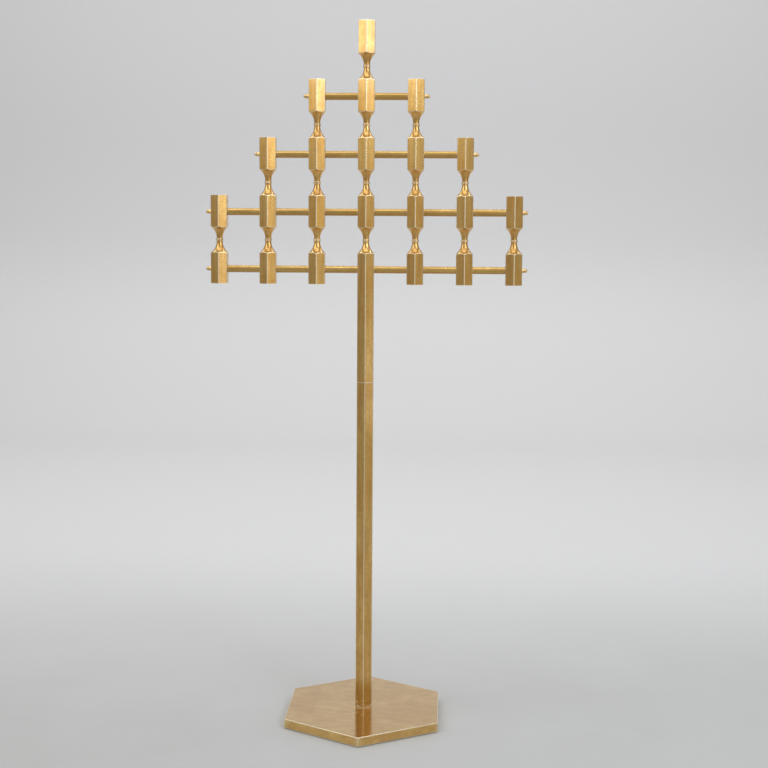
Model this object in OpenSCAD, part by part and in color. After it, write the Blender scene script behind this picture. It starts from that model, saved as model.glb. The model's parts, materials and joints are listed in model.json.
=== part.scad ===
// Floor candelabrum for seven candles, built up from hexagonal brass bar.
// Frame: X along the row of candles, -Y to the front, +Z up,
// origin at the centre of the underside. Units are millimetres.

/* [Head] */
// Distance between the axes of neighbouring columns
col_pitch = 80; // [66:1:100]
// Width across the flats of every hexagonal bar
hex_af = 27; // [25:0.5:34]
// Length of a hexagonal body, measured along its corners between the two waists
body_len = 50; // [44:1:70]
// Length of one half waist, from the joint to the corners of the hexagon
taper_len = 21.5; // [17.5:0.25:28]
// Depth of the tie rod's axis below the top of a hexagonal body
rod_drop = 26; // [22:0.5:30]

/* [Waists] */
// Radius of the waist where it is thinnest
neck_r = 5; // [4.2:0.1:6]
// Radius of the bead on each side of a waist joint
bead_r = 6.2; // [5.8:0.1:7]
// Height of the bead on each side of a waist joint
bead_h = 2; // [1.4:0.1:3]
// Rounding radius of a bead's edge
bead_round = 1.1; // [0.8:0.1:1.5]
// Plain length of the waist between the bead and the flare
neck_land = 0.6; // [0.2:0.1:2]

/* [Candle cups] */
// Height of a cup's rim above the axis of the tie rod
rim_rise = 27; // [25:0.5:34]
// Radius of the candle bore, for a 22 mm candle
candle_r = 11.25; // [9:0.25:11.75]
// Depth of the candle bore
candle_depth = 22; // [14:0.5:23]
// Width of the bevel around the bore's mouth
candle_bevel = 0.5; // [0.2:0.1:1]

/* [Rods and nuts] */
// Outer radius of a spacer
spacer_r = 6; // [4:0.5:8]
// Radius of a tie rod
tie_r = 2; // [1.5:0.1:2.5]
// Radial clearance between a tie rod and the holes it passes through
tie_clear = 0.08; // [0.05:0.01:0.1]
// Depth of a tie rod's thread in a cap nut
tie_grip = 4.5; // [3:0.5:5]
// Width across the flats of a cap nut
cap_af = 7; // [6:0.5:9]
// Length of the hexagonal part of a cap nut
cap_hex_len = 4.2; // [3:0.1:5]
// Whole length of a cap nut
cap_len = 9; // [8.5:0.5:11]

/* [Stem] */
// Length of the lower stem
lower_stem_len = 546; // [430:1:660]
// Distance from the stem joint up to the axis of the lowest tie rod
upper_stem_rise = 184; // [120:1:240]
// Bevel on the corners of the hexagonal bars at a plain end
end_bevel = 0.5; // [0.3:0.1:1]

/* [Base] */
// Width across the flats of the base plate
base_af = 250; // [200:1:300]
// Thickness of the base plate
base_t = 15; // [13:0.5:20]
// Bevel on the edges of the base plate
base_bevel = 0.8; // [0.4:0.1:2]
// Thickness of the felt
felt_t = 1; // [0.6:0.1:3]
// Distance of the felt's edge inside the plate's edge
felt_inset = 4; // [2:0.5:12]

/* [Hidden fasteners] */
// Radius of a waist stud
neck_stud_r = 3; // [2:0.1:3]
// Depth of a waist stud in each half of its joint
neck_stud_grip = 16; // [8:1:16]
// Radius of the stem stud
stem_stud_r = 5; // [4:0.5:8]
// Depth of the stem stud in each half of the stem
stem_stud_grip = 20; // [14:1:30]
// Radial clearance of a stud in its hole
stud_clear = 0.05; // [0.02:0.01:0.08]
// Empty depth left beyond the end of a stud
stud_relief = 1; // [0.5:0.5:3]
// Radius of the base bolt
bolt_r = 5; // [4:0.5:6]
// Depth of the base bolt in the lower stem
bolt_grip = 20; // [12:1:30]
// Radial clearance of the base bolt in the plate
bolt_hole_clear = 0.5; // [0.3:0.1:1]
// Width across the flats of the bolt head
bolt_head_af = 16; // [14:1:18]
// Height of the bolt head
bolt_head_h = 6.4; // [5:0.1:7]
// Outer radius of the washer
washer_r = 10; // [9:0.5:10.5]
// Thickness of the washer
washer_t = 2; // [1:0.1:2.5]
// Radius of the counterbore under the plate
counterbore_r = 11.5; // [11:0.5:14]
// Depth of the counterbore under the plate
counterbore_depth = 9.5; // [8.5:0.5:10.5]

/* [Hidden] */
$fn = 96;
hex_sides = 6;
// Turns a corner of a six-sided cylinder to the front
flat_turn = 30;
bevel_angle = 30;
col_count = 7;
top_col = 4;
top_tier = 5;
corner_ratio = 1 / cos(flat_turn);
// Distance the turned envelope stands outside the hexagon's corners
env_margin = 1;
// Overshoot of a cutting tool past the face it leaves through
cut = 1;
// Radius of a cap nut's dome as a share of half its width across flats
cap_dome_share = 0.93;
brass_tone = [0.78, 0.6, 0.28];
rod_tone = [0.7, 0.53, 0.24];
steel_tone = [0.6, 0.6, 0.62];
felt_tone = [0.12, 0.2, 0.14];

corner_r = hex_af / 2 * corner_ratio;
env_r = corner_r + env_margin;
tier_pitch = body_len + 2 * taper_len;
// Height on the waist where the flare starts, and the radius that meets the corners
flare_start = bead_h + neck_land;
flare_run = taper_len - flare_start;
flare_rise = corner_r - neck_r;
flare_r = (flare_run * flare_run + flare_rise * flare_rise) / (2 * flare_rise);
bead_axis_r = bead_r - bead_round;
bevel_run = end_bevel / tan(bevel_angle);

base_top_z = felt_t + base_t;
stem_joint_z = base_top_z + lower_stem_len;
tier_1_z = stem_joint_z + upper_stem_rise;

// Heights measured from the tie rod's axis
body_top = rod_drop;
body_bottom = rod_drop - body_len;
joint_above = body_top + taper_len;
joint_below = body_bottom - taper_len;

tie_hole_r = tie_r + tie_clear;
neck_hole_r = neck_stud_r + stud_clear;
neck_hole_depth = neck_stud_grip + stud_relief;
stem_hole_r = stem_stud_r + stud_clear;
stem_hole_depth = stem_stud_grip + stud_relief;
bolt_hole_r = bolt_r + stud_clear;
bolt_hole_depth = bolt_grip + stud_relief;
spacer_len = col_pitch - hex_af;
cap_dome_r = cap_af / 2 * cap_dome_share;
cap_corner_r = cap_af / 2 * corner_ratio;
counterbore_top_z = felt_t + counterbore_depth;
washer_z = counterbore_top_z - washer_t;
bolt_head_z = washer_z - bolt_head_h;

function col_x(c) = (c - top_col) * col_pitch;
function tier_z(t) = tier_1_z + (t - 1) * tier_pitch;
// Tier of the cup that ends column c, and the first column of tier t
function cup_tier(c) = top_tier - abs(c - top_col);
function first_col(t) = max(1, t - 1);
function last_col(t) = col_count + 1 - first_col(t);

// ---- shared shapes ----

// A hexagonal prism with flats to +X and -X and corners to the front and back
module hex_prism(af, h) {
    rotate([0, 0, flat_turn])
        cylinder(r = af / 2 * corner_ratio, h = h, $fn = hex_sides);
}

// Half of a waist as a cutter's outline, from the joint at y = 0 upward
module waist_cut_2d() {
    difference() {
        union() {
            translate([neck_r + flare_r, flare_start])
                circle(r = flare_r);
            translate([neck_r, -cut])
                square([env_r + cut, flare_start + cut]);
        }
        intersection() {
            translate([bead_axis_r, bead_h / 2])
                circle(r = bead_round);
            square([env_r, bead_h]);
        }
        square([bead_axis_r, bead_h]);
    }
}

// The turned outline of a bar of the given length
module bar_outline_2d(len, waist_low, waist_high) {
    difference() {
        square([env_r, len]);
        if (waist_low) waist_cut_2d();
        if (waist_high) translate([0, len]) mirror([0, 1]) waist_cut_2d();
        if (!waist_low) end_cut_2d();
        if (!waist_high) translate([0, len]) mirror([0, 1]) end_cut_2d();
    }
}

// The bevel at a plain end
module end_cut_2d() {
    start_r = corner_r - bevel_run;
    stop_r = env_r + cut;
    polygon([[start_r, -cut],
        [start_r, 0],
        [stop_r, (stop_r - start_r) * tan(bevel_angle)],
        [stop_r, -cut]]);
}

// A hexagonal bar from z = 0 upward, turned at its ends
module turned_bar(len, waist_low, waist_high) {
    intersection() {
        hex_prism(hex_af, len);
        rotate_extrude()
            bar_outline_2d(len, waist_low, waist_high);
    }
}

// Threaded hole for a waist stud, with its mouth at z = 0 and its end below
module waist_hole() {
    translate([0, 0, -neck_hole_depth])
        cylinder(r = neck_hole_r, h = neck_hole_depth + cut);
}

module cross_hole() {
    rotate([0, 90, 0])
        translate([0, 0, -hex_af])
            cylinder(r = tie_hole_r, h = 2 * hex_af);
}

// The four bodies, each drawn about the crossing of its own axis and the tie rod's
module cup_body(cross) {
    bar_len = rim_rise - joint_below;
    difference() {
        translate([0, 0, joint_below])
            turned_bar(bar_len, true, false);
        translate([0, 0, rim_rise - candle_depth])
            cylinder(r = candle_r, h = candle_depth + cut);
        translate([0, 0, rim_rise - candle_bevel])
            cylinder(r1 = candle_r, r2 = candle_r + candle_bevel + cut, h = candle_bevel + cut);
        translate([0, 0, joint_below])
            mirror([0, 0, 1])
                waist_hole();
        if (cross) cross_hole();
    }
}

module link_body() {
    difference() {
        translate([0, 0, joint_below])
            turned_bar(tier_pitch, true, true);
        translate([0, 0, joint_above])
            waist_hole();
        translate([0, 0, joint_below])
            mirror([0, 0, 1])
                waist_hole();
        cross_hole();
    }
}

module drop_body() {
    difference() {
        translate([0, 0, body_bottom])
            turned_bar(joint_above - body_bottom, false, true);
        translate([0, 0, joint_above])
            waist_hole();
        cross_hole();
    }
}

module at(c, t) {
    translate([col_x(c), 0, tier_z(t)])
        children();
}

module cup(c) {
    at(c, cup_tier(c))
        cup_body(c != top_col);
}

// Spacer i of a tier, counted from the left
module spacer(t, i) {
    at(first_col(t) + i, t)
        translate([hex_af / 2, 0, 0])
            rotate([0, 90, 0])
                difference() {
                    cylinder(r = spacer_r, h = spacer_len);
                    translate([0, 0, -cut])
                        cylinder(r = tie_hole_r, h = spacer_len + 2 * cut);
                }
}

module tie_rod(t) {
    reach = col_x(last_col(t)) + hex_af / 2 + tie_grip;
    translate([-reach, 0, tier_z(t)])
        rotate([0, 90, 0])
            cylinder(r = tie_r, h = 2 * reach);
}

// A cap nut standing on z = 0
module cap_nut() {
    difference() {
        union() {
            hex_prism(cap_af, cap_hex_len);
            cylinder(r = cap_dome_r, h = cap_len - cap_dome_r);
            translate([0, 0, cap_len - cap_dome_r])
                sphere(r = cap_dome_r);
        }
        translate([0, 0, -cut])
            cylinder(r = tie_hole_r, h = tie_grip + stud_relief / 2 + cut);
    }
}

module cap_nuts(t) {
    for (side = [-1, 1])
        translate([side * (col_x(last_col(t)) + hex_af / 2), 0, tier_z(t)])
            rotate([0, side * 90, 0])
                cap_nut();
}

module waist_stud() {
    translate([0, 0, joint_below - neck_stud_grip])
        cylinder(r = neck_stud_r, h = 2 * neck_stud_grip);
}

// A hexagonal plate from z = 0 upward with bevelled edges
module bevelled_plate(af, h, bevel) {
    outer_r = af / 2 * corner_ratio;
    inner_r = (af / 2 - bevel) * corner_ratio;
    rotate([0, 0, flat_turn]) {
        cylinder(r1 = inner_r, r2 = outer_r, h = bevel, $fn = hex_sides);
        translate([0, 0, bevel])
            cylinder(r = outer_r, h = h - 2 * bevel, $fn = hex_sides);
        translate([0, 0, h - bevel])
            cylinder(r1 = outer_r, r2 = inner_r, h = bevel, $fn = hex_sides);
    }
}

// ---- sub-parts ----

module base_felt() color(felt_tone)
    hex_prism(base_af - 2 * felt_inset, felt_t);

module base_plate() color(brass_tone)
    difference() {
        translate([0, 0, felt_t])
            bevelled_plate(base_af, base_t, base_bevel);
        cylinder(r = bolt_r + bolt_hole_clear, h = base_top_z + cut);
        cylinder(r = counterbore_r, h = counterbore_top_z);
    }

module base_bolt() color(steel_tone) {
    translate([0, 0, bolt_head_z])
        hex_prism(bolt_head_af, bolt_head_h);
    translate([0, 0, bolt_head_z])
        cylinder(r = bolt_r, h = base_top_z + bolt_grip - bolt_head_z);
}

module base_washer() color(steel_tone)
    translate([0, 0, washer_z])
        difference() {
            cylinder(r = washer_r, h = washer_t);
            translate([0, 0, -cut])
                cylinder(r = bolt_r + bolt_hole_clear / 2, h = washer_t + 2 * cut);
        }

module lower_stem() color(brass_tone)
    difference() {
        translate([0, 0, base_top_z])
            turned_bar(lower_stem_len, false, false);
        translate([0, 0, base_top_z - cut])
            cylinder(r = bolt_hole_r, h = bolt_hole_depth + cut);
        translate([0, 0, stem_joint_z - stem_hole_depth])
            cylinder(r = stem_hole_r, h = stem_hole_depth + cut);
    }

module stem_stud() color(rod_tone)
    translate([0, 0, stem_joint_z - stem_stud_grip])
        cylinder(r = stem_stud_r, h = 2 * stem_stud_grip);

module upper_stem() color(brass_tone)
    difference() {
        translate([0, 0, stem_joint_z])
            turned_bar(upper_stem_rise + joint_above, false, true);
        translate([0, 0, stem_joint_z - cut])
            cylinder(r = stem_hole_r, h = stem_hole_depth + cut);
        translate([0, 0, tier_1_z + joint_above])
            waist_hole();
        translate([0, 0, tier_1_z])
            cross_hole();
    }

module drop_c1() color(brass_tone)
    at(1, 1) drop_body();

module drop_c2() color(brass_tone)
    at(2, 1) drop_body();

module drop_c3() color(brass_tone)
    at(3, 1) drop_body();

module drop_c5() color(brass_tone)
    at(5, 1) drop_body();

module drop_c6() color(brass_tone)
    at(6, 1) drop_body();

module drop_c7() color(brass_tone)
    at(7, 1) drop_body();

module link_t2_c2() color(brass_tone)
    at(2, 2) link_body();

module link_t2_c3() color(brass_tone)
    at(3, 2) link_body();

module link_t2_c4() color(brass_tone)
    at(4, 2) link_body();

module link_t2_c5() color(brass_tone)
    at(5, 2) link_body();

module link_t2_c6() color(brass_tone)
    at(6, 2) link_body();

module link_t3_c3() color(brass_tone)
    at(3, 3) link_body();

module link_t3_c4() color(brass_tone)
    at(4, 3) link_body();

module link_t3_c5() color(brass_tone)
    at(5, 3) link_body();

module link_t4_c4() color(brass_tone)
    at(4, 4) link_body();

module cup_c1() color(brass_tone)
    cup(1);

module cup_c2() color(brass_tone)
    cup(2);

module cup_c3() color(brass_tone)
    cup(3);

module cup_c4() color(brass_tone)
    cup(4);

module cup_c5() color(brass_tone)
    cup(5);

module cup_c6() color(brass_tone)
    cup(6);

module cup_c7() color(brass_tone)
    cup(7);

module spacer_t1_a() color(rod_tone)
    spacer(1, 0);

module spacer_t1_b() color(rod_tone)
    spacer(1, 1);

module spacer_t1_c() color(rod_tone)
    spacer(1, 2);

module spacer_t1_d() color(rod_tone)
    spacer(1, 3);

module spacer_t1_e() color(rod_tone)
    spacer(1, 4);

module spacer_t1_f() color(rod_tone)
    spacer(1, 5);

module spacer_t2_a() color(rod_tone)
    spacer(2, 0);

module spacer_t2_b() color(rod_tone)
    spacer(2, 1);

module spacer_t2_c() color(rod_tone)
    spacer(2, 2);

module spacer_t2_d() color(rod_tone)
    spacer(2, 3);

module spacer_t2_e() color(rod_tone)
    spacer(2, 4);

module spacer_t2_f() color(rod_tone)
    spacer(2, 5);

module spacer_t3_a() color(rod_tone)
    spacer(3, 0);

module spacer_t3_b() color(rod_tone)
    spacer(3, 1);

module spacer_t3_c() color(rod_tone)
    spacer(3, 2);

module spacer_t3_d() color(rod_tone)
    spacer(3, 3);

module spacer_t4_a() color(rod_tone)
    spacer(4, 0);

module spacer_t4_b() color(rod_tone)
    spacer(4, 1);

module tie_rod_t1() color(steel_tone)
    tie_rod(1);

module tie_rod_t2() color(steel_tone)
    tie_rod(2);

module tie_rod_t3() color(steel_tone)
    tie_rod(3);

module tie_rod_t4() color(steel_tone)
    tie_rod(4);

module cap_nuts_t1() color(rod_tone)
    cap_nuts(1);

module cap_nuts_t2() color(rod_tone)
    cap_nuts(2);

module cap_nuts_t3() color(rod_tone)
    cap_nuts(3);

module cap_nuts_t4() color(rod_tone)
    cap_nuts(4);

// Every waist stud except the one under the middle cup, which turns out on its own
module waist_studs() color(steel_tone)
    for (c = [1 : col_count], t = [2 : cup_tier(c)])
        if (t < top_tier)
            at(c, t) waist_stud();

module cup_c4_stud() color(steel_tone)
    at(top_col, top_tier) waist_stud();

base_felt();
base_plate();
base_bolt();
base_washer();
lower_stem();
stem_stud();
upper_stem();
drop_c1();
drop_c2();
drop_c3();
drop_c5();
drop_c6();
drop_c7();
link_t2_c2();
link_t2_c3();
link_t2_c4();
link_t2_c5();
link_t2_c6();
link_t3_c3();
link_t3_c4();
link_t3_c5();
link_t4_c4();
cup_c1();
cup_c2();
cup_c3();
cup_c4();
cup_c5();
cup_c6();
cup_c7();
spacer_t1_a();
spacer_t1_b();
spacer_t1_c();
spacer_t1_d();
spacer_t1_e();
spacer_t1_f();
spacer_t2_a();
spacer_t2_b();
spacer_t2_c();
spacer_t2_d();
spacer_t2_e();
spacer_t2_f();
spacer_t3_a();
spacer_t3_b();
spacer_t3_c();
spacer_t3_d();
spacer_t4_a();
spacer_t4_b();
tie_rod_t1();
tie_rod_t2();
tie_rod_t3();
tie_rod_t4();
cap_nuts_t1();
cap_nuts_t2();
cap_nuts_t3();
cap_nuts_t4();
waist_studs();
cup_c4_stud();
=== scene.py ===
import json
import math
from collections import namedtuple

import bmesh
import bpy
from mathutils import Matrix, Vector

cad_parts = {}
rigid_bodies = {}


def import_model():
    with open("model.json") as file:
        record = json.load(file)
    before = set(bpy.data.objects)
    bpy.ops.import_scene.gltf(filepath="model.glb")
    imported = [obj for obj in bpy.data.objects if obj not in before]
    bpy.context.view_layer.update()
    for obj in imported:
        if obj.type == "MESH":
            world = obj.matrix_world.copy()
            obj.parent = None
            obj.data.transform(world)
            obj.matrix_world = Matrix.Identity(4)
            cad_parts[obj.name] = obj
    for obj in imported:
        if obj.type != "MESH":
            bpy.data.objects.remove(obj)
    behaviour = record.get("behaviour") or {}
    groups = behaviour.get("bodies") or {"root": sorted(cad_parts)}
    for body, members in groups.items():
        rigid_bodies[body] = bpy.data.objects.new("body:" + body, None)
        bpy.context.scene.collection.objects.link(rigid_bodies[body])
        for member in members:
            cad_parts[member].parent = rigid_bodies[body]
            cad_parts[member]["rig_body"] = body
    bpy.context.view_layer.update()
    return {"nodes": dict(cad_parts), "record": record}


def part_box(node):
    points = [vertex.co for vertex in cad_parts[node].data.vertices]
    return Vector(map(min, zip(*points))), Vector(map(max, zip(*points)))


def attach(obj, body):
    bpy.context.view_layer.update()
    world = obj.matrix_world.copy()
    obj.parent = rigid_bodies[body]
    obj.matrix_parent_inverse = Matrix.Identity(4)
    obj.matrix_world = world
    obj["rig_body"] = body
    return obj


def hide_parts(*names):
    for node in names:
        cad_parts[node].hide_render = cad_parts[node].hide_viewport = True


# A floor candelabrum turned and screwed together from hexagonal brass bar.
# Everything is in metres, in the CAD frame: X along the row of candles, -Y to the front, +Z up.

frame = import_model()
record = frame["record"]

# ---- sizes that repeat the part's own details ----

# Half of a waist: bead at the joint, plain neck, then a flare up to the hexagon
TAPER_LEN = 0.0215
NECK_R = 0.005
BEAD_R = 0.0062
BEAD_H = 0.002
BEAD_ROUND = 0.0011
NECK_LAND = 0.0006
END_BEVEL = 0.0005
CANDLE_BEVEL = 0.0005

# Holes for the tie rods, waist studs, stem stud and bolt
TIE_HOLE_R = 0.00208
STUD_HOLE_R = 0.00305
STUD_HOLE_DEPTH = 0.017
STEM_HOLE_R = 0.00505
STEM_HOLE_DEPTH = 0.021
BOLT_HOLE_R = 0.0055
COUNTERBORE_R = 0.0115
COUNTERBORE_DEPTH = 0.0085

# Threads of the two screws that the head and the middle cup turn on
STEM_STUD_PITCH = 0.0015
CUP_STUD_PITCH = 0.001

# A thread's depth as a share of its pitch
THREAD_DEPTH_SHARE = 0.54

# Cap nuts
NUT_AF = 0.007
NUT_HEX_LEN = 0.0042
NUT_DOME_R = 0.003255
NUT_HOLE_R = 0.00208
NUT_HOLE_DEPTH = 0.005

# ---- sizes of the finish ----

BAR_ROUNDING = 0.0015
NUT_ROUNDING = 0.0003
PLATE_CORNER_ROUNDING = 0.0012
PLATE_EDGE_ROUNDING = 0.0007
EDGE_BREAK = 0.00022
WEAR_AND_HIGHLIGHT_FADE = 0.0012
SPACER_BEVEL = 0.0004
NUT_BEVEL = 0.0004
FELT_ROUNDING_SHARE = 0.3

# How finely outlines and turned surfaces are divided
FLAT_STEPS = 8
CORNER_STEPS = 4
BEAD_STEPS = 8
FLARE_STEPS = 12
DOME_STEPS = 6
ROUND_SIDES = 48
THREAD_SIDES = 36
THREAD_PROFILE = [0, 0, 0.5, 1, 1, 1, 0.5, 0]
THREAD_STEPS = len(THREAD_PROFILE)
HOLE_SIDES = 32
NUT_FLAT_STEPS = 4
FELT_EDGE_STEPS = 3

# An edge that turns by more than this stays sharp
SHARP_ANGLE = math.radians(35)

# ---- camera ----

CAMERA_PLACE = (0.1365, -2.1248, 0.8061)
CAMERA_HEADING = math.radians(2.86)
CAMERA_LOOK_DOWN = math.radians(4.92)
CAMERA_ROLL = math.radians(0.36)
CAMERA_LENS_MM = 61.1
CAMERA_SENSOR_MM = 36
CAMERA_SHIFT_UP = -0.0508

# A spoke is one direction of a bar's cross-section: its angle, its reach to the outline, and
# 1 on a rounded corner, 0.5 beside it or 0 on a flat. A point of a row lies on a spoke: its wear and
# highlight share runs from 0 for untouched to 1 for rubbed bright, which is real wear together with a
# painted edge highlight, and turned is 1 on lathe-cut surfaces.
Spoke = namedtuple("Spoke", "angle reach corner")
Point = namedtuple("Point", "radius height wear turned")


# ---- cross-sections ----

def hexagon_spokes(across_flats, rounding, flat_steps=FLAT_STEPS):
    """Spokes of a hexagon with rounded corners and with flats to +X and -X."""
    apothem = across_flats / 2
    arc_centre = apothem - rounding
    half_flat = arc_centre * math.tan(math.radians(30))
    side = []
    for i in range(flat_steps + 1):
        along = 2 * i / flat_steps - 1
        side.append((apothem, half_flat * along, 0.5 if abs(along) == 1 else 0.0))
    for i in range(1, CORNER_STEPS):
        turn = math.radians(60 * i / CORNER_STEPS)
        side.append((arc_centre + rounding * math.cos(turn), half_flat + rounding * math.sin(turn), 1.0))
    spokes = []
    for k in range(6):
        for x, y, corner in side:
            spokes.append(Spoke(math.atan2(y, x) + math.radians(60 * k), math.hypot(x, y), corner))
    return spokes


def round_spokes(radius, sides=ROUND_SIDES):
    """Spokes of a round bar."""
    return [Spoke(2 * math.pi * i / sides, radius, 0.0) for i in range(sides)]


# ---- rows of points, from the middle of an end outward and then inward along the bar ----

def circle_row(spokes, radius, height, wear=0.0):
    """A lathe-cut ring."""
    return [Point(radius, height, wear, 1.0) for _ in spokes]


def outline_row(spokes, height, inset=0.0, wear=0.0):
    """A ring that follows the bar's own outline."""
    return [Point(s.reach - inset, height, max(wear, s.corner), 0.0) for s in spokes]


def sharp_reach(spokes):
    """The reach that the hexagon's corners would have without their rounding."""
    return min(s.reach for s in spokes) / math.cos(math.radians(30))


def blind_hole_rows(spokes, radius, depth):
    """A blind hole from its floor to its mouth."""
    return [circle_row(spokes, radius, depth), circle_row(spokes, radius, 0)]


def waist_rows(spokes):
    """Half a waist: stud hole, bead, neck, and the flare that ends in scallops on the flats."""
    rows = blind_hole_rows(spokes, STUD_HOLE_R, STUD_HOLE_DEPTH)
    clip = math.asin(BEAD_H / 2 / BEAD_ROUND)
    for i in range(BEAD_STEPS + 1):
        turn = clip * (2 * i / BEAD_STEPS - 1)
        radius = BEAD_R - BEAD_ROUND + BEAD_ROUND * math.cos(turn)
        rows.append(circle_row(spokes, radius, BEAD_H / 2 + BEAD_ROUND * math.sin(turn), 0.6))
    flare_start = BEAD_H + NECK_LAND
    rows.append(circle_row(spokes, NECK_R, BEAD_H))
    rows.append(circle_row(spokes, NECK_R, flare_start))
    run = TAPER_LEN - flare_start
    rise = sharp_reach(spokes) - NECK_R
    flare_r = (run * run + rise * rise) / (2 * rise)
    full = [math.acos(1 - (s.reach - NECK_R) / flare_r) for s in spokes]
    for i in range(1, FLARE_STEPS + 1):
        row = []
        for end in full:
            turn = (end - EDGE_BREAK / flare_r) * i / FLARE_STEPS
            wear = 0.7 if i == FLARE_STEPS else 0.0
            radius = NECK_R + flare_r * (1 - math.cos(turn))
            row.append(Point(radius, flare_start + flare_r * math.sin(turn), wear, 1.0))
        rows.append(row)
    scallops = [flare_start + flare_r * math.sin(end) for end in full]
    for gap, wear in ((EDGE_BREAK, 1.0), (WEAR_AND_HIGHLIGHT_FADE, 0.0)):
        rows.append([
            Point(s.reach, scallop + gap, max(wear, s.corner), 0.0)
            for s, scallop in zip(spokes, scallops)
        ])
    return rows


def plain_end_rows(spokes):
    """A sawn end with its corners turned off at 30 degrees."""
    start = sharp_reach(spokes) - END_BEVEL / math.tan(math.radians(30))
    slope = math.tan(math.radians(30))
    rows = [[Point(min(s.reach - EDGE_BREAK, start), 0, 1.0, 1.0) for s in spokes]]
    for gap, wear in ((EDGE_BREAK, 1.0), (WEAR_AND_HIGHLIGHT_FADE, 0.0)):
        rows.append([
            Point(s.reach, max(gap, (s.reach - start) * slope + gap - EDGE_BREAK), max(wear, s.corner), 0.0)
            for s in spokes
        ])
    return rows


def candle_end_rows(spokes, bore_r, bore_depth):
    """A cup's rim with the bore for the candle."""
    bore = [
        circle_row(spokes, bore_r, bore_depth),
        circle_row(spokes, bore_r, CANDLE_BEVEL),
        circle_row(spokes, bore_r + CANDLE_BEVEL, 0, 0.8),
    ]
    return bore + plain_end_rows(spokes)


def rounded_end_rows(spokes, rounding, steps=4):
    """A plain end whose edge is a quarter round."""
    rows = []
    for i in range(steps + 1):
        turn = math.radians(90 * i / steps)
        inset = rounding * (1 - math.sin(turn))
        rows.append(outline_row(spokes, rounding * (1 - math.cos(turn)), inset, 1.0))
    rows.append(outline_row(spokes, rounding + WEAR_AND_HIGHLIGHT_FADE))
    return rows


# ---- meshes ----

def bar_rows(low_rows, high_rows, low, high):
    """The rows of a whole bar whose two ends lie at heights low and high."""
    rows = []
    for row in low_rows:
        rows.append([p._replace(height=low + p.height) for p in row])
    for row in reversed(high_rows):
        rows.append([p._replace(height=high - p.height) for p in row])
    return rows


def add_rings(mesh, spokes, rows, place, ring_closed=False):
    """Adds the rows to a bmesh as rings of quads, with capped ends or joined up if ring_closed."""
    wear_and_highlight_layer = mesh.verts.layers.float["wear"]
    turned_layer = mesh.verts.layers.float["turned"]
    rings = []
    for row in rows:
        ring = []
        for spoke, p in zip(spokes, row):
            across = Vector((p.radius * math.cos(spoke.angle), p.radius * math.sin(spoke.angle), p.height))
            vert = mesh.verts.new(place @ across)
            vert[wear_and_highlight_layer] = p.wear
            vert[turned_layer] = p.turned
            ring.append(vert)
        rings.append(ring)
    pairs = list(zip(rings, rings[1:]))
    if ring_closed:
        pairs.append((rings[-1], rings[0]))
    count = len(spokes)
    for below, above in pairs:
        for i in range(count):
            j = (i + 1) % count
            mesh.faces.new((below[i], below[j], above[j], above[i]))
    if not ring_closed:
        mesh.faces.new(list(reversed(rings[0])))
        mesh.faces.new(rings[-1])


def new_bmesh():
    """An empty bmesh with the two attributes that the materials read."""
    mesh = bmesh.new()
    mesh.verts.layers.float.new("wear")
    mesh.verts.layers.float.new("turned")
    return mesh


def to_object(name, mesh):
    """Turns a bmesh into an object of the scene, with its faces pointing outward."""
    bmesh.ops.recalc_face_normals(mesh, faces=mesh.faces)
    data = bpy.data.meshes.new(name)
    mesh.to_mesh(data)
    mesh.free()
    obj = bpy.data.objects.new(name, data)
    bpy.context.scene.collection.objects.link(obj)
    return obj


def shade(obj):
    """Smooth shading that keeps sharp edges sharp and flats flat."""
    obj.data.shade_smooth()
    obj.data.set_sharp_from_angle(angle=SHARP_ANGLE)
    normals = obj.modifiers.new("even_flats", "WEIGHTED_NORMAL")
    normals.keep_sharp = True


def upright(x):
    """Places a bar drawn along +Z so that its axis stands at x."""
    return Matrix.Translation((x, 0, 0))


def sideways(x, z, direction=1):
    """Places a bar drawn along +Z so that it runs along +X or -X from the point x, z."""
    return Matrix.Translation((x, 0, z)) @ Matrix.Rotation(math.radians(90 * direction), 4, "Y")


def cut_cross_hole(obj, x, z, reach):
    """Drills the hole for the tie rod through a bar, to reach on both sides of its axis."""
    cutter_mesh = new_bmesh()
    spokes = round_spokes(TIE_HOLE_R, HOLE_SIDES)
    rows = [circle_row(spokes, TIE_HOLE_R, -reach), circle_row(spokes, TIE_HOLE_R, reach)]
    add_rings(cutter_mesh, spokes, rows, sideways(x, z))
    cutter = to_object("drill", cutter_mesh)
    drill = obj.modifiers.new("drill", "BOOLEAN")
    drill.operation = "DIFFERENCE"
    drill.solver = "EXACT"
    drill.object = cutter
    view = bpy.context.evaluated_depsgraph_get()
    drilled = bpy.data.meshes.new_from_object(obj.evaluated_get(view))
    obj.modifiers.clear()
    obj.data = drilled
    bpy.data.objects.remove(cutter)


# ---- materials ----

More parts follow.
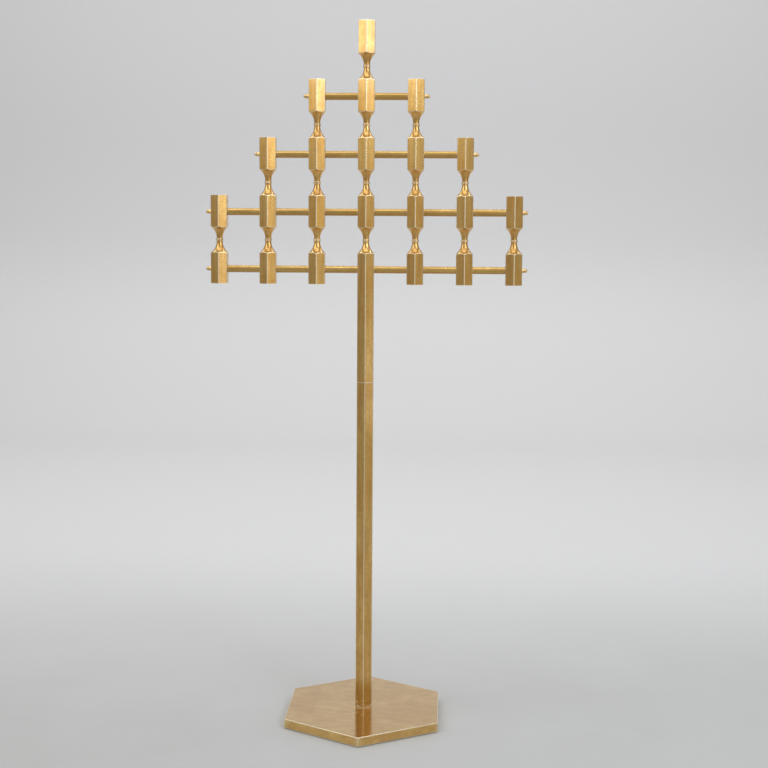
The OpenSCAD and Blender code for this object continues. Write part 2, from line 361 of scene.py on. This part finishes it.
class Surface:
    """A material under construction, with short calls for the nodes that it uses."""

    def __init__(self, name, metallic, base_roughness):
        self.material = bpy.data.materials.new(name)
        self.material.use_nodes = True
        self.tree = self.material.node_tree
        self.shader = self.tree.nodes["Principled BSDF"]
        self.shader.inputs["Metallic"].default_value = metallic
        self.shader.inputs["Roughness"].default_value = base_roughness
        place = self.tree.nodes.new("ShaderNodeTexCoord")
        self.coords = place.outputs["Object"]
        self.normal = place.outputs["Normal"]

    def link(self, source, target):
        """Connects an output to an input."""
        self.tree.links.new(source, target)

    def part_of(self, vector, axis):
        """The X, Y or Z part of a vector."""
        node = self.tree.nodes.new("ShaderNodeSeparateXYZ")
        self.link(vector, node.inputs["Vector"])
        return node.outputs[axis]

    def length_of(self, vector):
        """The length of a vector."""
        node = self.tree.nodes.new("ShaderNodeVectorMath")
        node.operation = "LENGTH"
        self.link(vector, node.inputs[0])
        return node.outputs["Value"]

    def stretched(self, scale, offset=(0, 0, 0)):
        """The object's own coordinates, scaled along each axis and moved."""
        node = self.tree.nodes.new("ShaderNodeMapping")
        node.inputs["Scale"].default_value = scale
        node.inputs["Location"].default_value = offset
        self.link(self.coords, node.inputs["Vector"])
        return node.outputs["Vector"]

    def noise(self, scale, detail=3.0, roughness=0.55, coords=None, distortion=0.0):
        """A cloud-like pattern from 0 to 1."""
        node = self.tree.nodes.new("ShaderNodeTexNoise")
        node.inputs["Scale"].default_value = scale
        node.inputs["Detail"].default_value = detail
        node.inputs["Roughness"].default_value = roughness
        node.inputs["Distortion"].default_value = distortion
        self.link(coords if coords is not None else self.coords, node.inputs["Vector"])
        return node.outputs["Fac"]

    def between(self, source, low, high):
        """A smooth step from 0 where source is low to 1 where it is high."""
        node = self.tree.nodes.new("ShaderNodeMapRange")
        node.interpolation_type = "SMOOTHSTEP"
        node.inputs["From Min"].default_value = low
        node.inputs["From Max"].default_value = high
        self.link(source, node.inputs["Value"])
        return node.outputs["Result"]

    def maths(self, operation, first, second):
        """Adds, multiplies or takes the larger of two values, each a number or a socket."""
        node = self.tree.nodes.new("ShaderNodeMath")
        node.operation = operation
        for socket, value in zip(node.inputs, (first, second)):
            if isinstance(value, (int, float)):
                socket.default_value = value
            else:
                self.link(value, socket)
        return node.outputs["Value"]

    def attribute(self, name):
        """A value that the mesh carries, such as wear."""
        node = self.tree.nodes.new("ShaderNodeAttribute")
        node.attribute_name = name
        return node.outputs["Fac"]

    def mix(self, factor, first, second):
        """Mixes two colours, each a linear (r, g, b) or a socket."""
        node = self.tree.nodes.new("ShaderNodeMix")
        node.data_type = "RGBA"
        self.link(factor, node.inputs["Factor"])
        for socket, value in ((node.inputs[6], first), (node.inputs[7], second)):
            if isinstance(value, tuple):
                socket.default_value = (*value, 1)
            else:
                self.link(value, socket)
        return node.outputs[2]

    def mix_values(self, factor, first, second):
        """Mixes two sockets that carry plain values."""
        node = self.tree.nodes.new("ShaderNodeMix")
        node.data_type = "FLOAT"
        self.link(factor, node.inputs["Factor"])
        self.link(first, node.inputs[2])
        self.link(second, node.inputs[3])
        return node.outputs[0]

    def finish(self, colour, roughness, height, depth):
        """Connects colour, roughness and a bump of the given depth in metres."""
        bump = self.tree.nodes.new("ShaderNodeBump")
        bump.inputs["Distance"].default_value = depth
        self.link(height, bump.inputs["Height"])
        self.link(bump.outputs["Normal"], self.shader.inputs["Normal"])
        self.link(colour, self.shader.inputs["Base Color"])
        self.link(roughness, self.shader.inputs["Roughness"])
        return self.material


# How strongly each trace of age shows on the brass, from 0 to 1; the rubbed edges' share also sets a
# painted edge highlight, and the underside share sets a painted shade on the rods
MOTTLE_SHARE = 0.2
STREAK_SHARE = 0.3
LINE_SHARE = 0.2
WEAR_AND_HIGHLIGHT_SHARE = 0.9
UNDERSIDE_SHADE_SHARE = 0.75

# Brightness of a stain against the brown, colours of rubbed edges, which also carry a painted edge
# highlight, and of dried polish, which also carries a painted highlight at the stem's foot, the lacquer's
# roughness, and the depth of the relief in metres
STAIN_BRIGHTNESS = 0.45
RUBBED_EDGE_AND_HIGHLIGHT = (0.98, 0.87, 0.6)
DRIED_POLISH_AND_HIGHLIGHT = (0.86, 0.78, 0.6)
COAT_ROUGHNESS = 0.12
BRASS_RELIEF = 0.000001

# Patterns of age, each from 0 to 1
Age = namedtuple("Age", "patches mottle streaks lines stains wear")


def brass_age(s, line_scales):
    """Warm patches, mottle, long streaks, tool lines, brown stains, and rubbed edges that also carry a
    painted highlight.
    """
    lathe_scale, grain_scale, streak_scale = line_scales
    grain = s.noise(1, 2, 0.6, s.stretched(grain_scale))
    lathe = s.noise(1, 2, 0.6, s.stretched(lathe_scale))
    spots = s.between(s.noise(420, 3, 0.5), 0.62, 0.72)
    cluster = s.between(s.noise(34, 3, 0.6, s.stretched((1, 1, 1), (3, 7, 1))), 0.5, 0.68)
    return Age(
        patches=s.between(s.noise(22, 3, 0.55), 0.36, 0.64),
        mottle=s.between(s.noise(150, 2.5, 0.5, distortion=0.3), 0.42, 0.7),
        streaks=s.between(s.noise(1, 2, 0.5, s.stretched(streak_scale)), 0.35, 0.65),
        lines=s.mix_values(s.attribute("turned"), grain, lathe),
        stains=s.maths("MULTIPLY", spots, cluster),
        # Mask of the rubbed edges, which also places the painted edge highlight
        wear=s.between(s.attribute("wear"), 0.2, 1.0),
    )


def brass_colour(s, palette, age, spot_share):
    """Bright to warm brass, browned by age, and pale at the edges from wear and a painted edge highlight.
    """
    bright, warm, brown = palette
    stain_colour = tuple(c * STAIN_BRIGHTNESS for c in brown)
    colour = s.mix(age.patches, bright, warm)
    colour = s.mix(s.maths("MULTIPLY", age.mottle, MOTTLE_SHARE), colour, brown)
    colour = s.mix(s.maths("MULTIPLY", age.streaks, STREAK_SHARE), colour, brown)
    colour = s.mix(s.maths("MULTIPLY", s.between(age.lines, 0.42, 0.7), LINE_SHARE), colour, brown)
    colour = s.mix(s.maths("MULTIPLY", age.stains, spot_share), colour, stain_colour)
    # Edges turn pale cream: real wear together with a painted highlight along edges and rims
    return s.mix(s.maths("MULTIPLY", age.wear, WEAR_AND_HIGHLIGHT_SHARE), colour, RUBBED_EDGE_AND_HIGHLIGHT)


def brass_roughness(s, age, base_roughness):
    """Duller on patches, mottle and stains, and along the tool lines."""
    dull = s.maths("ADD", s.maths("MULTIPLY", age.patches, 0.05), s.maths("MULTIPLY", age.mottle, 0.03))
    dull = s.maths("ADD", dull, s.maths("MULTIPLY", age.stains, 0.25))
    return s.maths("ADD", s.maths("ADD", dull, base_roughness), s.maths("MULTIPLY", age.lines, 0.04))


def aged_brass(name, palette, line_scales, base_roughness, spot_share=0.5, foot_z=None,
               painted_underside_shade=False):
    """Lacquered brass. The palette is bright, warm and brown; the line scales are those of
    lathe lines, grain and streaks along X, Y and Z. Above foot_z, if given, is a pale band of dried polish
    and a painted highlight of the foot's bevel. A painted underside shade turns the faces that look down
    browner."""
    s = Surface(name, 1.0, base_roughness)
    s.shader.inputs["Coat Weight"].default_value = 1.0
    s.shader.inputs["Coat Roughness"].default_value = COAT_ROUGHNESS
    age = brass_age(s, line_scales)
    colour = brass_colour(s, palette, age, spot_share)
    roughness = brass_roughness(s, age, base_roughness)
    # Painted shade: the faces that look down are darkened toward the brown
    if painted_underside_shade:
        facing = s.between(s.part_of(s.normal, "Z"), -0.1, -0.8)
        colour = s.mix(s.maths("MULTIPLY", facing, UNDERSIDE_SHADE_SHARE), colour, palette[2])
    # Pale band at the stem's foot: dried polish and a painted highlight of the bevel
    if foot_z is not None:
        polish_and_highlight = polish_and_foot_highlight(s, foot_z)
        colour = s.mix(polish_and_highlight, colour, DRIED_POLISH_AND_HIGHLIGHT)
        roughness = s.maths("ADD", roughness, s.maths("MULTIPLY", polish_and_highlight, 0.3))
    height = s.maths("ADD", s.maths("MULTIPLY", age.lines, 0.6), s.maths("MULTIPLY", age.stains, -1.0))
    return s.finish(colour, roughness, height, BRASS_RELIEF)


def polish_and_foot_highlight(surface, foot_z):
    """Share of pale colour at the foot: a line at foot_z that is dried polish in the corner and a painted
    highlight of the foot's bevel, and a few flecks of dried polish just above it.
    """
    height = surface.part_of(surface.coords, "Z")
    # Painted highlight of the bevel at the foot, together with dried polish in the corner
    line = surface.between(height, foot_z + 0.0026, foot_z + 0.0012)
    band = surface.between(height, foot_z + 0.02, foot_z + 0.004)
    flecks = surface.between(surface.noise(150, 2, 0.5), 0.53, 0.58)
    flecks = surface.maths("MULTIPLY", flecks, band)
    return surface.maths("MAXIMUM", surface.maths("MULTIPLY", line, 0.8), flecks)


def machine_steel():
    """Zinc-plated steel for the bolt, washer, studs and tie rods."""
    s = Surface("machine_steel", 1.0, 0.35)
    cloud = s.between(s.noise(140, 4), 0.35, 0.65)
    lines = s.noise(1, 2, 0.6, s.stretched((900, 900, 3000)))
    colour = s.mix(cloud, (0.62, 0.62, 0.6), (0.46, 0.46, 0.45))
    roughness = s.maths("ADD", s.maths("MULTIPLY", cloud, 0.15), 0.3)
    return s.finish(colour, roughness, lines, 0.00001)


def green_felt():
    """Pressed wool felt: a matted nap with darker and lighter fibres."""
    s = Surface("green_felt", 0.0, 0.95)
    s.shader.inputs["Sheen Weight"].default_value = 0.4
    s.shader.inputs["Sheen Roughness"].default_value = 0.6
    fibres = s.between(s.noise(1400, 6, 0.7, distortion=1.5), 0.35, 0.65)
    cloud = s.between(s.noise(60, 3), 0.35, 0.65)
    colour = s.mix(fibres, (0.016, 0.03, 0.02), (0.035, 0.06, 0.04))
    colour = s.mix(s.maths("MULTIPLY", cloud, 0.4), colour, (0.03, 0.045, 0.03))
    roughness = s.maths("ADD", s.maths("MULTIPLY", fibres, 0.08), 0.88)
    return s.finish(colour, roughness, fibres, 0.0002)


BAR_PALETTE = ((0.86, 0.54, 0.155), (0.75, 0.425, 0.1), (0.42, 0.2, 0.04))
ROD_PALETTE = ((0.83, 0.54, 0.15), (0.71, 0.43, 0.1), (0.4, 0.21, 0.04))
NUT_PALETTE = ((0.88, 0.6, 0.24), (0.78, 0.49, 0.16), (0.5, 0.28, 0.07))
PLATE_PALETTE = ((0.84, 0.55, 0.18), (0.74, 0.44, 0.125), (0.46, 0.25, 0.065))

BAR_LINES = ((60, 60, 1800), (1400, 1400, 10), (170, 170, 14))
ROD_LINES = ((2600, 60, 60), (30, 2600, 2600), (14, 300, 300))
NUT_LINES = ((2600, 60, 60), (2600, 60, 60), (300, 300, 300))
PLATE_LINES = ((9, 700, 700), (9, 700, 700), (40, 140, 140))

FOOT_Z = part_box("lower_stem")[0].z
BAR_BRASS = aged_brass("bar_brass", BAR_PALETTE, BAR_LINES, 0.24)
STEM_BRASS = aged_brass("stem_brass", BAR_PALETTE, BAR_LINES, 0.24, foot_z=FOOT_Z)
# The rods carry a painted shade on their faces that look down
ROD_BRASS = aged_brass("rod_brass", ROD_PALETTE, ROD_LINES, 0.24, painted_underside_shade=True)
NUT_BRASS = aged_brass("nut_brass", NUT_PALETTE, NUT_LINES, 0.18)
PLATE_BRASS = aged_brass("plate_brass", PLATE_PALETTE, PLATE_LINES, 0.08, spot_share=0.95)
STEEL = machine_steel()
FELT = green_felt()


# ---- pieces ----

def take_place(obj, node, material):
    """obj stands for the CAD node, moves with its body and wears the material."""
    obj.data.materials.clear()
    obj.data.materials.append(material)
    shade(obj)
    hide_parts(node)
    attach(obj, frame["nodes"][node]["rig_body"])
    return obj


def node_names(*starts):
    """Names of the CAD nodes that begin with one of the given words."""
    return sorted(n for n in frame["nodes"] if n.startswith(starts))


def tier_of(node):
    """The tier that a node's name ends in, such as t1."""
    return node[-2:]


def middle_x(node):
    """Where a node's middle lies along the row of candles."""
    low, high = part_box(node)
    return (low.x + high.x) / 2


BAR_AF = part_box("lower_stem")[1].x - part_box("lower_stem")[0].x
BAR_SPOKES = hexagon_spokes(BAR_AF, BAR_ROUNDING)
CANDLE = next(m for m in record["mounts"] if m["name"] == "candle_bore_c1")["dims"]
ROD_HEIGHTS = [(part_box(n)[0].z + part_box(n)[1].z) / 2 for n in node_names("tie_rod")]


def make_bar(node, low_rows, high_rows, has_cross_hole, material=BAR_BRASS):
    """A hexagonal bar from the node's lowest to its highest point."""
    low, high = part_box(node)
    x = middle_x(node)
    mesh = new_bmesh()
    add_rings(mesh, BAR_SPOKES, bar_rows(low_rows, high_rows, low.z, high.z), upright(x))
    obj = to_object(node + "_piece", mesh)
    if has_cross_hole:
        rod_z = next(z for z in ROD_HEIGHTS if low.z < z < high.z)
        cut_cross_hole(obj, x, rod_z, BAR_AF)
    return take_place(obj, node, material)


def make_bars():
    """The two stems, and the drops, links and cups of the head."""
    waist = waist_rows(BAR_SPOKES)
    plain = plain_end_rows(BAR_SPOKES)
    stem_end = blind_hole_rows(BAR_SPOKES, STEM_HOLE_R, STEM_HOLE_DEPTH) + plain
    bore_depth = CANDLE["length_mm"] / 1000 + CANDLE_BEVEL
    cup_end = candle_end_rows(BAR_SPOKES, CANDLE["r_mm"] / 1000, bore_depth)
    make_bar("lower_stem", stem_end, stem_end, False, STEM_BRASS)
    make_bar("upper_stem", stem_end, waist, True)
    for node in node_names("drop_"):
        make_bar(node, plain, waist, True)
    for node in node_names("link_"):
        make_bar(node, waist, waist, True)
    for node in ["cup_c%d" % c for c in range(1, 8)]:
        make_bar(node, waist, cup_end, node != "cup_c4")


def make_spacers():
    """The turned tubes that hold the columns apart."""
    for node in node_names("spacer_"):
        low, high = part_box(node)
        outer_r = (high.z - low.z) / 2
        spokes = round_spokes(outer_r)
        end = [
            circle_row(spokes, TIE_HOLE_R, 0),
            circle_row(spokes, outer_r - SPACER_BEVEL, 0, 0.5),
            circle_row(spokes, outer_r, SPACER_BEVEL, 0.7),
            outline_row(spokes, SPACER_BEVEL + WEAR_AND_HIGHLIGHT_FADE),
        ]
        mesh = new_bmesh()
        rows = bar_rows(end, end, 0, high.x - low.x)
        add_rings(mesh, spokes, rows, sideways(low.x, (low.z + high.z) / 2), ring_closed=True)
        take_place(to_object(node + "_piece", mesh), node, ROD_BRASS)


def nut_rows(spokes, length):
    """A cap nut from the floor of its threaded hole round its seat, hexagon and dome."""
    corner = sharp_reach(spokes)
    dome_start = length - NUT_DOME_R
    chamfer = [Point(min(s.reach, corner - NUT_BEVEL), 0, 0.8, 1.0) for s in spokes]
    rows = [
        circle_row(spokes, NUT_HOLE_R, NUT_HOLE_DEPTH),
        circle_row(spokes, NUT_HOLE_R, 0),
        chamfer,
        outline_row(spokes, NUT_BEVEL / 2),
        outline_row(spokes, NUT_HEX_LEN - NUT_BEVEL),
        [p._replace(height=NUT_HEX_LEN, radius=NUT_DOME_R + NUT_BEVEL / 4) for p in chamfer],
        circle_row(spokes, NUT_DOME_R, NUT_HEX_LEN + NUT_BEVEL / 4),
    ]
    for i in range(DOME_STEPS):
        turn = math.radians(90 * i / DOME_STEPS)
        height = dome_start + NUT_DOME_R * math.sin(turn)
        rows.append(circle_row(spokes, NUT_DOME_R * math.cos(turn), height, 0.4))
    return rows


def make_cap_nuts():
    """The domed nuts on both ends of each tie rod."""
    spokes = hexagon_spokes(NUT_AF, NUT_ROUNDING, NUT_FLAT_STEPS)
    for node in node_names("cap_nuts"):
        low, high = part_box(node)
        # The nuts sit on the outer flats of the two end bodies, one bar beyond the end spacers
        row_spacers = node_names("spacer_" + tier_of(node))
        flat_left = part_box(row_spacers[0])[0].x - BAR_AF
        flat_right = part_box(row_spacers[-1])[1].x + BAR_AF
        z = (low.z + high.z) / 2
        rows = nut_rows(spokes, high.x - flat_right)
        mesh = new_bmesh()
        add_rings(mesh, spokes, rows, sideways(flat_right, z))
        add_rings(mesh, spokes, rows, sideways(flat_left, z, -1))
        take_place(to_object(node + "_piece", mesh), node, NUT_BRASS)


def thread_height(phase):
    """Height of the profile at a step of it, from 0 at the thread's root to 1 at its crest."""
    first = THREAD_PROFILE[int(phase) % THREAD_STEPS]
    second = THREAD_PROFILE[(int(phase) + 1) % THREAD_STEPS]
    return first + (second - first) * (phase - int(phase))


def thread_rows(spokes, length, radius, pitch):
    """A screw thread: each spoke's profile is shifted along the axis by its share of a turn."""
    depth = pitch * THREAD_DEPTH_SHARE
    steps = int(length / pitch) * THREAD_STEPS
    rows = [circle_row(spokes, radius - depth, 0)]
    for i in range(1, steps):
        row = []
        fullness = min(1, i / THREAD_STEPS, (steps - i) / THREAD_STEPS)
        for j in range(len(spokes)):
            phase = (i / THREAD_STEPS - j / len(spokes)) % 1 * THREAD_STEPS
            crest = thread_height(phase)
            reach = radius - depth * (1 - crest * fullness)
            row.append(Point(reach, length * i / steps, crest * 0.5, 1.0))
        rows.append(row)
    rows.append(circle_row(spokes, radius - depth, length))
    return rows


def make_thread(node, pitch):
    """A threaded steel stud in place of the CAD's plain one."""
    low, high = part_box(node)
    radius = (high.x - low.x) / 2
    spokes = round_spokes(radius, THREAD_SIDES)
    mesh = new_bmesh()
    rows = bar_rows(thread_rows(spokes, high.z - low.z, radius, pitch), [], low.z, high.z)
    add_rings(mesh, spokes, rows, upright(middle_x(node)))
    take_place(to_object(node + "_piece", mesh), node, STEEL)


def make_base_plate():
    """The hexagonal plate with its bolt hole and the counterbore under it."""
    low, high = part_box("base_plate")
    spokes = hexagon_spokes(high.x - low.x, PLATE_CORNER_ROUNDING)
    edge = rounded_end_rows(spokes, PLATE_EDGE_ROUNDING)
    under = [
        circle_row(spokes, BOLT_HOLE_R, COUNTERBORE_DEPTH),
        circle_row(spokes, COUNTERBORE_R, COUNTERBORE_DEPTH),
        circle_row(spokes, COUNTERBORE_R, 0),
    ]
    inset = PLATE_EDGE_ROUNDING + WEAR_AND_HIGHLIGHT_FADE
    fade_in = [Point(s.reach - inset, 0, 0.0, 0.0) for s in spokes]
    top = [circle_row(spokes, BOLT_HOLE_R, 0), fade_in] + edge
    mesh = new_bmesh()
    rows = bar_rows(under + [fade_in] + edge, top, low.z, high.z)
    add_rings(mesh, spokes, rows, upright(0), ring_closed=True)
    take_place(to_object("base_plate_piece", mesh), "base_plate", PLATE_BRASS)


def make_felt():
    """The felt hexagon glued under the plate."""
    low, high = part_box("base_felt")
    across_flats = high.x - low.x
    spokes = hexagon_spokes(across_flats, PLATE_CORNER_ROUNDING)
    # The last row, which fades the rubbed-edge colour and its painted highlight, lies deeper than the felt
    # is thick, so it is left out
    rounding = (high.z - low.z) * FELT_ROUNDING_SHARE
    edge = rounded_end_rows(spokes, rounding, FELT_EDGE_STEPS)[:-1]
    mesh = new_bmesh()
    add_rings(mesh, spokes, bar_rows(edge, edge, low.z, high.z), upright(0))
    obj = take_place(to_object("base_felt_piece", mesh), "base_felt", FELT)


def paint_kept_nodes():
    """Puts steel on the CAD nodes that are kept as they are."""
    for node in node_names("base_bolt", "base_washer", "tie_rod", "waist_studs"):
        data = frame["nodes"][node].data
        data.materials.clear()
        data.materials.append(STEEL)


# ---- stage ----

FLOOR_HALF_WIDTH = 25.0
BACKDROP_Y = 3.6
BACKDROP_RADIUS = 0.8
BACKDROP_HEIGHT = 5.0
FLOOR_FRONT_Y = -25.0
FLOOR_FADE_Y = -0.1
FLOOR_FADE_DEPTH = 1.3
SWEEP_STEPS = 24

# The key light on the right is slightly cool, so the brass's brightest faces turn creamy
COOL_LIGHT = (1.0, 1.06, 1.25)
ROOM_GREY = (0.36, 0.36, 0.36, 1)

# Points that the lights aim at
UPPER_HEAD = (0, 0, 1.0)
LOWER_HEAD = (0, 0, 0.8)


def make_backdrop():
    """A pale floor that curves up into a pale backdrop."""
    outline = [(FLOOR_FRONT_Y, 0.0), (BACKDROP_Y - BACKDROP_RADIUS, 0.0)]
    for i in range(1, SWEEP_STEPS + 1):
        turn = math.radians(90 * i / SWEEP_STEPS)
        y = BACKDROP_Y - BACKDROP_RADIUS + BACKDROP_RADIUS * math.sin(turn)
        outline.append((y, BACKDROP_RADIUS * (1 - math.cos(turn))))
    outline.append((BACKDROP_Y, BACKDROP_HEIGHT))
    mesh = bmesh.new()
    sides = []
    for x in (-FLOOR_HALF_WIDTH, FLOOR_HALF_WIDTH):
        sides.append([mesh.verts.new((x, y, z)) for y, z in outline])
    for i in range(len(outline) - 1):
        mesh.faces.new((sides[0][i], sides[1][i], sides[1][i + 1], sides[0][i + 1]))
    sweep = to_object("floor_and_backdrop", mesh)
    sweep.data.shade_smooth()
    sweep.data.materials.append(pale_floor())


def pale_floor():
    """Board with painted light and shade: painted shade under and in front of the object, painted light
    behind and far from it, painted shade up the backdrop.
    """
    s = Surface("pale_floor", 0.0, 0.6)
    cloud = s.between(s.noise(2.5, 5, 0.6), 0.3, 0.7)
    grain = s.noise(90, 4, 0.6)
    depth = s.part_of(s.coords, "Y")
    # Painted shade near and in front of the object, painted light far away and behind it, painted shade
    # higher up the backdrop
    floor = s.mix(cloud, (0.575, 0.58, 0.56), (0.61, 0.615, 0.6))
    floor = s.mix(s.between(s.length_of(s.coords), 2.0, 4.0), floor, (0.9, 0.9, 0.9))
    behind = s.between(depth, FLOOR_FADE_Y, FLOOR_FADE_Y + FLOOR_FADE_DEPTH)
    colour = s.mix(behind, floor, (0.82, 0.82, 0.82))
    height = s.part_of(s.coords, "Z")
    colour = s.mix(s.between(height, 0.3, 1.35), colour, (0.69, 0.69, 0.695))
    roughness = s.maths("ADD", s.maths("MULTIPLY", grain, 0.1), 0.55)
    return s.finish(colour, roughness, grain, 0.0003)


def area_light(name, place, aim, width, height, power, shape="RECTANGLE", colour=(1, 1, 1)):
    """A softbox at place, facing the point aim."""
    light = bpy.data.lights.new(name, "AREA")
    light.shape = shape
    light.size = width
    light.size_y = height
    light.energy = power
    light.color = colour
    obj = bpy.data.objects.new(name, light)
    obj.location = place
    obj.rotation_euler = (Vector(aim) - Vector(place)).to_track_quat("-Z", "Y").to_euler()
    obj.visible_camera = False
    bpy.context.scene.collection.objects.link(obj)


def around(azimuth, distance, height):
    """A place at a compass angle from the front, positive to the right."""
    angle = math.radians(azimuth)
    return (distance * math.sin(angle), -distance * math.cos(angle), height)


def make_lights():
    """Softboxes left and right, a low card, fills in front and overhead, and a backdrop light."""
    area_light("key_left", around(-62, 1.5, 1.77), UPPER_HEAD, 1.0, 1.2, 7.0)
    area_light("key_right", around(45, 1.5, 1.6), UPPER_HEAD, 1.2, 1.0, 7.0, "ELLIPSE", COOL_LIGHT)
    area_light("low_right", around(37, 1.5, 0.92), LOWER_HEAD, 0.5, 0.9, 1.5)
    area_light("card_right", around(57, 2.2, 0.32), (0, 0, 0.3), 1.0, 0.25, 0.6)
    area_light("front_fill", around(4, 3.2, 1.3), LOWER_HEAD, 2.0, 1.6, 2.2)
    area_light("overhead", (0, -0.9, 3.2), (0, 0, 0.4), 2.4, 1.6, 15)
    area_light("backdrop_wash", (0, 1.2, 3.1), (0, 3.6, 0.1), 6.0, 0.8, 58)


def make_world():
    """Soft grey surroundings."""
    world = bpy.data.worlds.new("studio")
    world.use_nodes = True
    background = world.node_tree.nodes["Background"]
    background.inputs["Color"].default_value = ROOM_GREY
    background.inputs["Strength"].default_value = 1.0
    bpy.context.scene.world = world
    bpy.context.scene.view_settings.view_transform = "Standard"


def make_camera():
    """The photograph's viewpoint."""
    lens = bpy.data.cameras.new("camera")
    lens.sensor_width = CAMERA_SENSOR_MM
    lens.lens = CAMERA_LENS_MM
    lens.shift_y = CAMERA_SHIFT_UP
    camera = bpy.data.objects.new("camera", lens)
    turn = Matrix.Rotation(CAMERA_HEADING, 4, "Z")
    tilt = Matrix.Rotation(math.radians(90) - CAMERA_LOOK_DOWN, 4, "X")
    roll = Matrix.Rotation(CAMERA_ROLL, 4, "Z")
    camera.matrix_world = Matrix.Translation(CAMERA_PLACE) @ turn @ tilt @ roll
    bpy.context.scene.collection.objects.link(camera)
    bpy.context.scene.camera = camera


make_camera()
make_bars()
make_spacers()
make_cap_nuts()
make_thread("stem_stud", STEM_STUD_PITCH)
make_thread("cup_c4_stud", CUP_STUD_PITCH)
make_base_plate()
make_felt()
paint_kept_nodes()
make_backdrop()
make_lights()
make_world()
